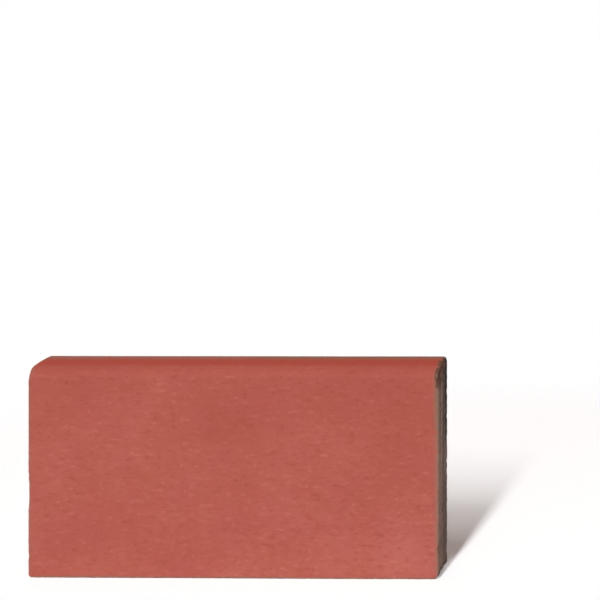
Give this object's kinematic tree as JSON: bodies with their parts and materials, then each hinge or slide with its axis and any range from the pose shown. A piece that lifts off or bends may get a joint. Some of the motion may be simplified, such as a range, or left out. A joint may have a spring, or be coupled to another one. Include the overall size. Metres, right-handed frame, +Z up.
{
  "type": "cement skirting tile",
  "caption": "Red pigmented cement skirting tile with a rounded top edge and bare mortar ends and back, stood on its long bottom edge against a wall",
  "frame": {"origin": "middle of the tile's footprint, on the floor it stands on", "axes": "+X along the length, to the right seen from the finished face; +Y from the finished face to the bedding face, towards the wall; +Z up"},
  "size_m": [0.2, 0.016, 0.106],
  "materials": {
    "pigmented_cement": "matte"
  },
  "bodies": {
    "root": {"skirting_tile": "pigmented_cement"}
  },
  "joints": []
}
